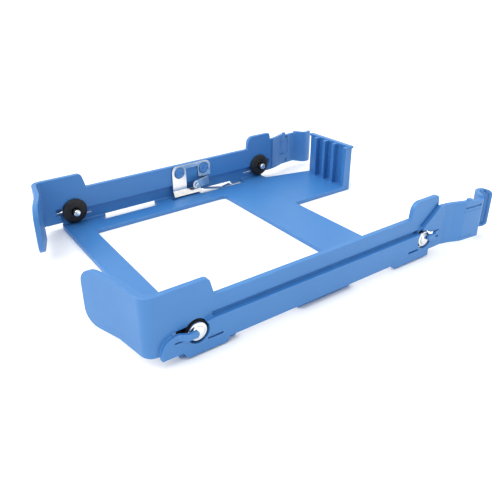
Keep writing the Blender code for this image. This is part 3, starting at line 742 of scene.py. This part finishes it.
def moulded_blue():
    """Satin blue plastic with flow shading, rubbed edges, handling marks and a fine grain."""
    name = "moulded_blue"
    if name in bpy.data.materials:
        return bpy.data.materials[name]
    colours = bpy.context.scene.tray_colours
    material, tree, shader = new_material(name)
    grain = add_group(tree, shared_group("fine_grain", grain_group), Scale=2400.0)
    wear = add_group(tree, shared_group("rubbed_edges", wear_group))
    swirls = add_noise(tree, object_place(tree, FLOW_STRETCH), scale=38.0, detail=3.0)
    flow = add_range(tree, swirls, from_low=0.3, from_high=0.7)
    base = add_mix(tree, flow, *shades(colours.blue, low=0.97, high=1.03))
    dots = add_noise(tree, object_place(tree), scale=1500.0, detail=2.0)
    speck = add_range(tree, dots, from_low=0.62, from_high=0.8, to_high=0.1)
    speckled = add_mix(tree, speck, base, colours.worn_blue)
    finished = add_mix(tree, wear.outputs["Edges"], speckled, colours.worn_blue)
    tree.links.new(finished, shader.inputs["Base Color"])
    marks = wear.outputs["Marks"]
    rough = add_range(tree, marks, from_low=0, from_high=0.6, to_low=0.4, to_high=0.45)
    tree.links.new(rough, shader.inputs["Roughness"])
    add_bump(tree, shader, grain.outputs["Height"], distance=0.02 * MM, strength=0.35)
    shader.inputs["IOR"].default_value = PLASTIC_IOR
    return material


def grommet_rubber():
    """Matt black rubber with a slight bloom."""
    name = "grommet_rubber"
    if name in bpy.data.materials:
        return bpy.data.materials[name]
    colours = bpy.context.scene.tray_colours
    material, tree, shader = new_material(name)
    grain = add_group(tree, shared_group("fine_grain", grain_group), Scale=3600.0)
    clouds = add_noise(tree, object_place(tree), scale=520.0, detail=4.0)
    bloom = add_range(tree, clouds, from_low=0.4, from_high=0.75)
    colour = add_mix(tree, bloom, colours.rubber, RUBBER_BLOOM)
    tree.links.new(colour, shader.inputs["Base Color"])
    rough = add_range(tree, bloom, from_low=0, from_high=1, to_low=0.5, to_high=0.68)
    tree.links.new(rough, shader.inputs["Roughness"])
    add_bump(tree, shader, grain.outputs["Height"], distance=0.03 * MM, strength=0.5)
    return material


def plated_steel():
    """Bright plated steel with rolling lines and dulled patches."""
    name = "plated_steel"
    if name in bpy.data.materials:
        return bpy.data.materials[name]
    colours = bpy.context.scene.tray_colours
    material, tree, shader = new_material(name)
    shader.inputs["Metallic"].default_value = 1.0
    wear = add_group(tree, shared_group("rubbed_edges", wear_group), Mark_Scale=600.0)
    lines = add_noise(tree, object_place(tree, ROLLING_STRETCH), scale=1.0, detail=3.0)
    clouds = add_noise(tree, object_place(tree), scale=330.0, detail=4.0)
    patches = add_range(tree, clouds, from_low=0.35, from_high=0.7)
    colour = add_mix(tree, patches, *shades(colours.steel, low=0.95, high=1.1))
    bright = add_mix(tree, wear.outputs["Edges"], colour, BRIGHT_EDGE)
    tree.links.new(bright, shader.inputs["Base Color"])
    rough = add_range(tree, patches, from_low=0, from_high=1, to_low=0.16, to_high=0.24)
    marks = add_math(tree, "MULTIPLY", wear.outputs["Marks"], 0.12)
    tree.links.new(add_math(tree, "ADD", rough, marks), shader.inputs["Roughness"])
    add_bump(tree, shader, lines, distance=0.006 * MM, strength=0.2)
    return material


def studio_floor_finish():
    """Pale studio floor with a faint mottle."""
    colours = bpy.context.scene.tray_colours
    material, tree, shader = new_material("studio_floor")
    clouds = add_noise(tree, object_place(tree), scale=3.0, detail=3.0)
    mottle = add_range(tree, clouds, from_low=0.3, from_high=0.7)
    colour = add_mix(tree, mottle, *shades(colours.floor, low=0.99, high=1.01))
    tree.links.new(colour, shader.inputs["Base Color"])
    shader.inputs["Roughness"].default_value = 0.6
    shader.inputs["Specular IOR Level"].default_value = 0.2
    return material


class TRAY_OT_floor(bpy.types.Operator):
    """Floor frame with its extension and the ribbed finger grip"""

    bl_idname = "tray.floor"
    bl_label = "Floor Frame"

    def execute(self, context):
        """Round the floor's edges."""
        window_x = (PIN_X["rear"] + PIN_X["front"]) / 2
        work = merged_copy("tray_floor", [window_x, CLIP_HOLE_X])
        round_edges(work, context.scene.moulding_sizes.edge_radius * FINE_ROUNDING)
        made = piece("floor_frame", work, moulded_blue())
        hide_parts("tray_floor")
        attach(made, "tray")
        return {"FINISHED"}


class TRAY_OT_rails(bpy.types.Operator):
    """Side rails with their end walls, tabs, bands and stakes"""

    bl_idname = "tray.rails"
    bl_label = "Side Rails"

    def execute(self, context):
        """Build both rails."""
        sizes = context.scene.moulding_sizes
        for side in SIDES:
            cuts = [*PIN_X.values(), PIN_X["rear"] + SLIT_INBOARD, PIN_X["front"] - SLIT_INBOARD]
            cuts += STAKE_X if side == "far" else []
            work = merged_copy(f"{side}_rail", cuts)
            self.sink_grooves(work, side, sizes)
            self.sink_corner(work, side, sizes)
            butts = [(X_AXIS, RAIL_END)]
            butts += [(X_AXIS, tongue_root(side, end)) for end in ENDS]
            round_edges(work, sizes.edge_radius, butts=butts)
            if side == "far":
                self.dimple_stakes(work, context.scene.fitting_sizes.dimple_radius)
            made = piece(f"{side}_rail_wall", work, moulded_blue())
            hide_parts(f"{side}_rail")
            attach(made, f"{side}_rail")
        return {"FINISHED"}

    def sink_grooves(self, work, side, sizes):
        """Sink a groove into the panel along each straight run of the band's upper edge."""
        outward = (0, SIGN[side], 0)
        panel = SIGN[side] * (BAND_FACE - sizes.panel_step)
        for first, second in band_runs(side):
            start = Vector((first[0], panel, first[1]))
            stop = Vector((second[0], panel, second[1]))
            along = (stop - start).normalized()
            above = Vector((-along.z, 0, along.x))
            planes = [(start + above * sizes.groove_width, above), (start, -along), (stop, along)]
            near = Vector((sizes.groove_width, FACE_REACH, sizes.groove_width))
            low = (min(start.x, stop.x) - near.x, panel - near.y, min(start.z, stop.z) - near.z)
            high = (max(start.x, stop.x) + near.x, panel + near.y, max(start.z, stop.z) + near.z)
            push(work, face_patch(work, outward, low, high, planes), -sizes.groove_depth)

    def sink_corner(self, work, side, sizes):
        """Sink a deep pocket into the panel where the ledge meets the gusset."""
        panel = SIGN[side] * (BAND_FACE - sizes.panel_step - sizes.groove_depth)
        ledge, gusset = band_runs(side)[-2:]
        corner_x, foot_z = gusset[0][0], ledge[1][1]
        low = (corner_x - CORNER_POCKET[0], panel - FACE_REACH, foot_z)
        high = (corner_x - CORNER_POCKET[1], panel + FACE_REACH, foot_z + sizes.groove_width)
        pocket = box_patch(work, (0, SIGN[side], 0), low, high)
        push(work, pocket, -sizes.mark_depth * DEEP_SHARE)

    def dimple_stakes(self, work, radius):
        """Sink a round dimple into the end of each stake."""
        near_clip = [vert for vert in work.verts if abs(vert.co.x - CLIP_MIDDLE.x) < CLIP_REACH]
        face_y = min(vert.co.y for vert in near_clip)
        for place in STAKE_X:
            ends = [
                face
                for face in work.faces
                if abs(face.calc_center_median().y - face_y) < TOUCH
                and abs(face.calc_center_median().x - place) < radius * STAKE_REACH
            ]
            end = bmesh.ops.dissolve_faces(work, faces=ends)["region"][0]
            half = math.sqrt(end.calc_area() / math.pi)
            ring = push(work, [end], 0)
            shrink(work, ring, radius / half)
            shrink(work, push(work, ring, -DIMPLE_DEPTH), DIMPLE_TAPER)


class TRAY_OT_latches(bpy.types.Operator):
    """Latch arms with their finger pads"""

    bl_idname = "tray.latches"
    bl_label = "Latches"

    def execute(self, context):
        """Build both latches."""
        sizes = context.scene.moulding_sizes
        for side in SIDES:
            work = merged_copy(f"{side}_latch", [POCKET_X])
            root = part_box(f"{side}_latch")[0].x
            for vert in work.verts:
                if abs(vert.co.x - root) < TOUCH:
                    vert.co.x = RAIL_END
            round_edges(work, sizes.edge_radius * FINE_ROUNDING, butts=[(X_AXIS, RAIL_END)])
            outward, inward = (0, SIGN[side], 0), (0, -SIGN[side], 0)
            self.sink(work, side, outward, OUTER_REACH, WIDE_GROOVE, sizes.mark_depth)
            for groove in FINE_GROOVES:
                self.sink(work, side, outward, OUTER_REACH, groove, sizes.mark_depth * FINE_SHARE)
            for notch in NOTCHES:
                self.sink(work, side, inward, INNER_REACH, notch, sizes.mark_depth * DEEP_SHARE)
            self.sink_pad(work, side, sizes)
            made = piece(f"{side}_latch_arm", work, moulded_blue())
            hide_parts(f"{side}_latch")
            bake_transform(made)
        return {"FINISHED"}

    def sink(self, work, side, normal, reach, outline, depth):
        """Sink a rectangle into the arm's outer or inner face."""
        along, heights = outline
        across = sorted(SIGN[side] * place for place in reach)
        low = (RAIL_END + along[0], across[0], heights[0])
        high = (RAIL_END + along[1], across[1], heights[1])
        push(work, box_patch(work, normal, low, high), -depth)

    def sink_pad(self, work, side, sizes):
        """Sink the finger pad inside a rim."""
        normal = Vector((-1, SIGN[side], 0)).normalized()
        faces = [
            face
            for face in work.faces
            if face.normal.dot(normal) > PAD_FACING and face.calc_area() > PAD_LEAST_AREA
        ]
        if not faces:
            raise RuntimeError(f"the {side} latch has no finger pad")
        pad = max(faces, key=lambda face: face.calc_area())
        bmesh.ops.inset_individual(work, faces=[pad], thickness=sizes.pad_rim)
        push(work, [pad], -sizes.pad_depth)


class TRAY_OT_tongues(bpy.types.Operator):
    """Springy tongues over the pins' heads"""

    bl_idname = "tray.tongues"
    bl_label = "Pin Tongues"

    def execute(self, context):
        """Build the four tongues."""
        for side in SIDES:
            for end in ENDS:
                node = f"{side}_tongue_{end}"
                work = merged_copy(node)
                low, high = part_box(node)
                root = high.x if end == "front" else low.x
                place = tongue_root(side, end)
                for vert in work.verts:
                    if abs(vert.co.x - root) < TOUCH:
                        vert.co.x = place
                radius = context.scene.moulding_sizes.edge_radius * TONGUE_ROUNDING
                round_edges(work, radius, butts=[(X_AXIS, place)])
                made = piece(f"{node}_finish", work, moulded_blue())
                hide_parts(node)
                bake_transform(made)
        return {"FINISHED"}


class TRAY_OT_grommets(bpy.types.Operator):
    """Rubber grommets round the pins"""

    bl_idname = "tray.grommets"
    bl_label = "Grommets"

    def execute(self, context):
        """Turn the four grommets."""
        sizes = context.scene.fitting_sizes
        bore = sizes.shank_radius + BORE_CLEARANCE
        neck = HEAD_RADIUS + NECK_CLEARANCE
        back = GROMMET_FACE + FLANGE_BACK
        rim = (GROMMET_RADIUS - FLANGE_ROUNDING, back - FLANGE_ROUNDING)
        crown = (CROWN_RADIUS, GROMMET_FACE + CROWN_DEPTH)
        lip = (bore + BORE_ROUNDING, GROMMET_FACE + BORE_LIP)
        profile = [(neck, GROMMET_NECK_END), (neck, back)]
        profile += arc(rim, (FLANGE_ROUNDING,) * 2, 90, 0, CORNER_STEPS)
        profile += arc(crown, (GROMMET_RADIUS - CROWN_RADIUS, CROWN_DEPTH), 0, -90, CROWN_STEPS)
        profile += arc(lip, (BORE_ROUNDING,) * 2, -90, -180, LIP_STEPS)
        profile.append((bore, GROMMET_NECK_END))
        for side in SIDES:
            for end in ENDS:
                node = f"{side}_grommet_{end}"
                work = bmesh.new()
                turn_profile(work, profile, side, end, sizes.turn_steps)
                made = piece(f"{node}_finish", work, grommet_rubber())
                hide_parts(node)
                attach(made, f"{side}_rail")
        return {"FINISHED"}


class TRAY_OT_pins(bpy.types.Operator):
    """Steel pins with shouldered heads"""

    bl_idname = "tray.pins"
    bl_label = "Pins"

    def execute(self, context):
        """Turn the four pins."""
        sizes = context.scene.fitting_sizes
        shank = sizes.shank_radius
        boss = sizes.boss_radius
        top = BAND_FACE + BOSS_PROUD
        flange_top = BAND_FACE - FLANGE_DROP
        flange_foot = BAND_FACE - FLANGE_FOOT_DROP
        shoulder = (boss - BOSS_ROUNDING, top - BOSS_SHOULDER)
        rim = (HEAD_RADIUS - FLANGE_CORNER, flange_top - FLANGE_CORNER)
        tip = (shank - TIP_ROUNDING, PIN_TIP + TIP_ROUNDING)
        profile = [(0, top), (boss * BOSS_DISH_SHARE, top - BOSS_DISH)]
        profile += arc(shoulder, (BOSS_ROUNDING,) * 2, 90, 0, CORNER_STEPS)
        profile.append((boss + FOOT_FILLET[0], flange_top + FOOT_FILLET[0]))
        profile.append((boss + FOOT_FILLET[1], flange_top))
        profile += arc(rim, (FLANGE_CORNER,) * 2, 90, 0, CORNER_STEPS)
        profile += [(HEAD_RADIUS, flange_foot), (shank + NECK_FILLET, flange_foot)]
        profile += [(shank, flange_foot - NECK_FILLET), (shank, PIN_TIP + TIP_ROUNDING)]
        profile += arc(tip, (TIP_ROUNDING,) * 2, 0, -90, TIP_STEPS)
        profile.append((0, PIN_TIP))
        for side in SIDES:
            for end in ENDS:
                node = f"{side}_pin_{end}"
                work = bmesh.new()
                turn_profile(work, profile, side, end, sizes.turn_steps)
                made = piece(f"{node}_finish", work, plated_steel())
                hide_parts(node)
                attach(made, f"{side}_rail")
        return {"FINISHED"}


class TRAY_OT_clip(bpy.types.Operator):
    """Stamped earthing clip's plate and leaf"""

    bl_idname = "tray.clip"
    bl_label = "Earthing Clip"

    def execute(self, context):
        """Round the stamped pieces."""
        edge = context.scene.fitting_sizes.sheet_edge
        for node, body, cuts in (
            ("clip_plate", "far_rail", STAKE_X),
            ("clip_leaf", "clip_leaf", ()),
        ):
            work = merged_copy(node, cuts)
            round_edges(work, edge, segments=2)
            made = piece(f"{node}_finish", work, plated_steel())
            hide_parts(node)
            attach(made, body)
        return {"FINISHED"}


class TRAY_OT_finger(bpy.types.Operator):
    """Sprung contact finger with a round dimpled end"""

    bl_idname = "tray.finger"
    bl_label = "Contact Finger"

    def execute(self, context):
        """Cut a flat sheet with a round end, press the dimple into it, bend it and thicken it."""
        low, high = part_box("clip_finger")
        radius = (high.z - low.z) / 2
        centre = Vector((low.x + radius, high.y - SHEET, (low.z + high.z) / 2))
        work = bmesh.new()
        self.cut_sheet(work, centre, radius, high.x)
        bend_start = centre.x + radius
        for step in range(1, BEND_STEPS):
            bmesh.ops.bisect_plane(
                work,
                geom=[*work.verts, *work.edges, *work.faces],
                dist=WELD,
                plane_co=(bend_start + (high.x - bend_start) * step / BEND_STEPS, 0, 0),
                plane_no=(1, 0, 0),
            )
        rise = centre.y - low.y
        for vert in work.verts:
            share = min(1, (high.x - vert.co.x) / (high.x - low.x - radius))
            vert.co.y -= rise * math.sin(share * math.pi / 2)
        bmesh.ops.recalc_face_normals(work, faces=work.faces)
        bmesh.ops.solidify(work, geom=work.faces, thickness=SHEET * SHEET_SHARE)
        bmesh.ops.recalc_face_normals(work, faces=work.faces)
        made = piece("clip_finger_finish", work, plated_steel())
        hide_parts("clip_finger")
        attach(made, "clip_finger")
        return {"FINISHED"}

    def cut_sheet(self, work, centre, radius, root_x):
        """Flat sheet from a round end to the finger's root, with a pressed dimple."""
        outline = arc((centre.x, centre.z), (radius,) * 2, 90, 270, END_STEPS)
        outline += [(root_x, centre.z - radius), (root_x, centre.z + radius)]
        last = 360 - 360 / PRESSED_STEPS
        ring = arc((centre.x, centre.z), (PRESSED_RADIUS,) * 2, 0, last, PRESSED_STEPS - 1)
        edges = closed_loop(work, [(x, centre.y, z) for x, z in outline])
        dimple = closed_loop(work, [(x, centre.y, z) for x, z in ring])
        bmesh.ops.triangle_fill(work, edges=edges + dimple, use_beauty=True, use_dissolve=False)
        sunk = bmesh.ops.extrude_edge_only(work, edges=dimple)["geom"]
        verts = [item for item in sunk if isinstance(item, bmesh.types.BMVert)]
        taper = (PRESSED_TAPER, 1, PRESSED_TAPER)
        bmesh.ops.scale(work, vec=taper, verts=verts, space=Matrix.Translation(-centre))
        bmesh.ops.translate(work, vec=(0, PRESSED_DEPTH, 0), verts=verts)
        rim = [item for item in sunk if isinstance(item, bmesh.types.BMEdge) and item.is_boundary]
        bmesh.ops.edgeloop_fill(work, edges=rim)


class TRAY_OT_webs(bpy.types.Operator):
    """Flexing fillets that join the floor to the rails"""

    bl_idname = "tray.webs"
    bl_label = "Flexing Webs"

    def execute(self, context):
        """Build a web along each stretch where the floor meets a rail."""
        radius = context.scene.moulding_sizes.foot_fillet
        for side in SIDES:
            work = bmesh.new()
            section = self.section(side, radius)
            for start, stop in self.stretches(side):
                skin(work, [[(place, y, z) for y, z in section] for place in (start, stop)])
            bmesh.ops.recalc_face_normals(work, faces=work.faces)
            made = piece(f"{side}_web", work, moulded_blue())
            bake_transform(made)
        return {"FINISHED"}

    def stretches(self, side):
        """Spans along X where the floor reaches out to a rail."""
        places = set()
        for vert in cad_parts["tray_floor"].data.vertices:
            if abs(vert.co.y - SIGN[side] * FLOOR_SIDE) < TOUCH:
                places.add(round(vert.co.x, 6))
        places = sorted(places)
        return list(zip(places[::2], places[1::2]))

    def section(self, side, radius):
        """Hollow fillet over the gap, closed underneath."""
        wall = FLOOR_SIDE + PANEL_GAP
        points = arc((wall - radius, FLOOR_TOP + radius), (radius, radius), -90, 0, FILLET_STEPS)
        points.append((wall + SUNK, FLOOR_TOP + radius))
        points += [(wall + SUNK, WEB_FOOT), (FLOOR_SIDE - SUNK, WEB_FOOT)]
        points.append((FLOOR_SIDE - SUNK, FLOOR_TOP - WEB_DROP))
        points.append((wall - radius, FLOOR_TOP - SUNK))
        return [(SIGN[side] * y, z) for y, z in points]


class TRAY_OT_stage(bpy.types.Operator):
    """Pale studio floor, soft light and camera"""

    bl_idname = "tray.stage"
    bl_label = "Studio"

    def execute(self, context):
        """Set up the studio."""
        settings = context.scene.studio_settings
        self.lay_floor()
        self.hang_key_light(settings.key)
        self.light_surroundings(context.scene, settings.sky)
        self.place_camera(context.scene, settings)
        context.scene.view_settings.view_transform = "Standard"
        context.scene.view_settings.look = "Medium High Contrast"
        return {"FINISHED"}

    def lay_floor(self):
        """Wide floor under the tray."""
        work = bmesh.new()
        bmesh.ops.create_grid(
            work, x_segments=STUDIO_SQUARES, y_segments=STUDIO_SQUARES, size=STUDIO_REACH
        )
        mesh = bpy.data.meshes.new("studio_floor")
        work.to_mesh(mesh)
        work.free()
        mesh.materials.append(studio_floor_finish())
        floor = bpy.data.objects.new("studio_floor", mesh)
        bpy.context.scene.collection.objects.link(floor)

    def hang_key_light(self, strength):
        """Even, soft light from above, as from a large softbox."""
        light = bpy.data.lights.new("key_light", "SUN")
        light.angle = KEY_SPREAD
        light.energy = strength
        lamp = bpy.data.objects.new("key_light", light)
        lamp.rotation_euler = (-Vector(KEY_DIRECTION)).to_track_quat("-Z", "Y").to_euler()
        bpy.context.scene.collection.objects.link(lamp)

    def light_surroundings(self, scene, strength):
        """White surroundings."""
        scene.world = bpy.data.worlds.new("white_studio")
        scene.world.use_nodes = True
        background = scene.world.node_tree.nodes["Background"]
        background.inputs["Color"].default_value = (1, 1, 1, 1)
        background.inputs["Strength"].default_value = strength

    def place_camera(self, scene, settings):
        """Camera over the near rail's rear corner."""
        lens = bpy.data.cameras.new("camera")
        lens.sensor_width = SENSOR_WIDTH
        lens.lens = settings.focal_length
        lens.shift_x, lens.shift_y = CAMERA_SHIFT
        lens.clip_start, lens.clip_end = CLIP_RANGE
        camera = bpy.data.objects.new("camera", lens)
        camera.location = settings.camera_place
        camera.rotation_euler = settings.camera_turn
        scene.collection.objects.link(camera)
        scene.camera = camera


STEPS = (
    TRAY_OT_floor,
    TRAY_OT_rails,
    TRAY_OT_latches,
    TRAY_OT_tongues,
    TRAY_OT_webs,
    TRAY_OT_grommets,
    TRAY_OT_pins,
    TRAY_OT_clip,
    TRAY_OT_finger,
    TRAY_OT_stage,
)


class TRAY_PT_panel(bpy.types.Panel):
    """Panel of the tray's sizes and build steps"""

    bl_idname = "TRAY_PT_panel"
    bl_label = "Hard Drive Tray"
    bl_space_type = "VIEW_3D"
    bl_region_type = "UI"
    bl_category = "Drive Tray"

    def draw(self, context):
        """List the settings and the build steps."""
        for attribute, label in SETTINGS:
            self.layout.label(text=label)
            group = getattr(context.scene, attribute)
            for field in group.bl_rna.properties:
                if not field.is_readonly and field.identifier != "name":
                    self.layout.prop(group, field.identifier)
        for step in STEPS:
            self.layout.operator(step.bl_idname)


SETTINGS = (
    ("moulding_sizes", "Moulding"),
    ("fitting_sizes", "Fittings"),
    ("tray_colours", "Colours"),
    ("studio_settings", "Studio"),
)
GROUPS = (MouldingSizes, FittingSizes, TrayColours, StudioSettings)


def register():
    """Register the settings, the build steps and the panel."""
    for item in (*GROUPS, *STEPS, TRAY_PT_panel):
        bpy.utils.register_class(item)
    for (attribute, _), group in zip(SETTINGS, GROUPS):
        setattr(bpy.types.Scene, attribute, PointerProperty(type=group))


def unregister():
    """Remove what register added."""
    for attribute, _ in SETTINGS:
        delattr(bpy.types.Scene, attribute)
    for item in (TRAY_PT_panel, *reversed(STEPS), *reversed(GROUPS)):
        bpy.utils.unregister_class(item)


def main():
    """Build the tray and its studio."""
    register()
    for step in STEPS:
        group, action = step.bl_idname.split(".")
        getattr(getattr(bpy.ops, group), action)()


if __name__ == "__main__":
    main()
